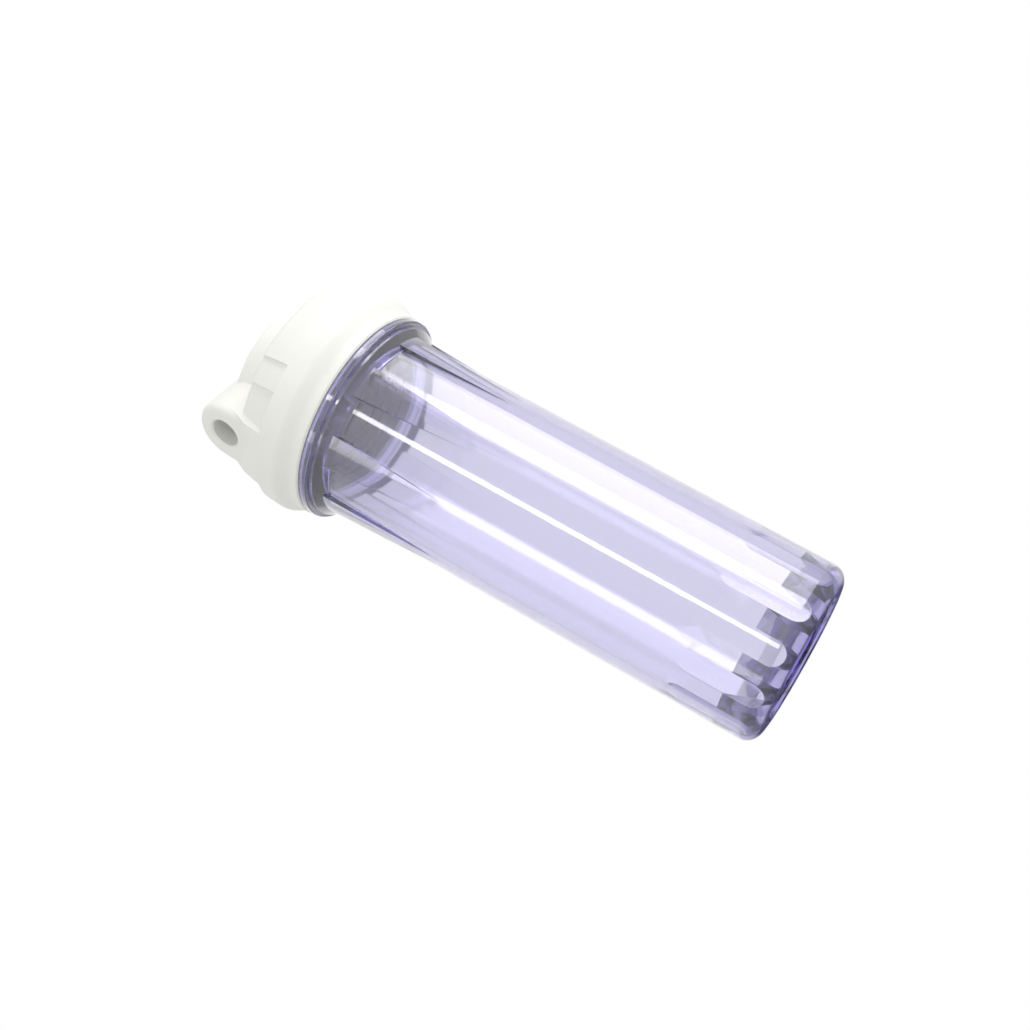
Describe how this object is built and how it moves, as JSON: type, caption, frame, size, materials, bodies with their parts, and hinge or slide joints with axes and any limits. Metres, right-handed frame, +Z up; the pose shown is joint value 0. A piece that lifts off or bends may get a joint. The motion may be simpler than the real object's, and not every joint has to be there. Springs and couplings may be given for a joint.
{
  "type": "water filter housing",
  "caption": "Slim upright water filter housing: a clear ribbed bowl that screws up into a white head with side ports and a squeezed seal ring.",
  "frame": {"origin": "centre of the flat ring that the bowl stands on", "axes": "+Z up the housing's axis from the bowl's base to the head, +X along the outlet port's axis, the way a fitting leaves it"},
  "size_m": [0.1172, 0.1172, 0.3043],
  "materials": {
    "clear_plastic": "polished clear moulding with a violet tint",
    "white_plastic": "satin off-white moulding",
    "seal_rubber": "smooth black rubber"
  },
  "bodies": {
    "bowl": {"clear_bowl": "clear_plastic"},
    "seal": {"seal_ring": "seal_rubber"},
    "head": {"head": "white_plastic"}
  },
  "joints": [
    {"name": "head_lift", "type": "slide", "parent": "bowl", "child": "seal", "axis": [0, 0, 1], "range_m": [0, 0.015]},
    {"name": "head_turn", "type": "hinge", "parent": "seal", "child": "head", "pos_m": [0, 0, 0.243], "axis": [0, 0, 1], "range_deg": [0, 1080]}
  ],
  "couplings": [
    {"joint": "head_lift", "follows": "head_turn", "m_per_rad": 0.00079577}
  ]
}
